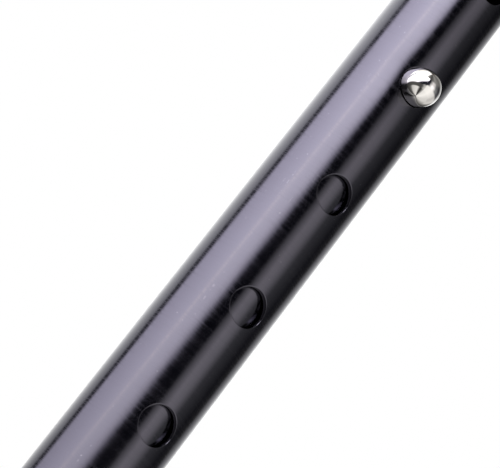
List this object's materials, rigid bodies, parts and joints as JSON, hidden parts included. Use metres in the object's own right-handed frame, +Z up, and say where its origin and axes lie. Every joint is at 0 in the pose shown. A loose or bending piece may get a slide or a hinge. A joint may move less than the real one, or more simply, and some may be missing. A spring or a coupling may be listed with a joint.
{
  "type": "height-adjustable walking stick",
  "caption": "Telescoping walking stick: black outer tube with a row of holes, chrome snap button, ribbed lock nut, shaped wooden handle and rubber foot.",
  "frame": {"origin": "middle of the rubber foot's ground face", "axes": "+Z up along the shaft, -Y out of the snap button, -X towards the handle's nose"},
  "size_m": [0.1354, 0.038, 0.8265],
  "materials": {
    "black_anodised_aluminium": "gloss black anodised",
    "chrome": "polished",
    "spring_steel": "rolled",
    "black_rubber": "moulded matt",
    "black_plastic": "moulded satin",
    "natural_nylon": "moulded satin",
    "brass": "machined",
    "stained_beech": "stained and lacquered"
  },
  "bodies": {
    "lower_shaft": {"ferrule": "black_rubber", "ferrule_washer": "spring_steel", "lower_end_plug": "natural_nylon", "lower_tube": "black_anodised_aluminium", "lower_tube_glide": "natural_nylon", "button_spring": "spring_steel"},
    "snap_button": {"snap_button": "chrome", "button_rivet": "spring_steel"},
    "upper_shaft": {"upper_tube": "black_anodised_aluminium", "threaded_bushing": "black_plastic", "clamp_ring": "natural_nylon", "handle_collar": "chrome", "tube_top_plug": "natural_nylon", "plug_pin": "spring_steel", "stud_insert": "brass", "handle_stud": "spring_steel", "handle": "stained_beech"},
    "lock_nut": {"lock_nut": "black_plastic"}
  },
  "joints": [
    {"name": "height_adjust", "type": "slide", "parent": "lower_shaft", "child": "upper_shaft", "axis": [0, 0, 1], "range_m": [-0.09, 0.09]},
    {"name": "button_press", "type": "slide", "parent": "lower_shaft", "child": "snap_button", "axis": [0, 1, 0], "range_m": [0, 0.0067], "stiffness_N_per_m": 900, "springref_m": -0.002, "deforming": ["button_spring"]},
    {"name": "lock_nut_turn", "type": "hinge", "parent": "upper_shaft", "child": "lock_nut", "pos_m": [0, 0, 0.29], "axis": [0, 0, 1], "range_deg": [0, 270]}
  ]
}
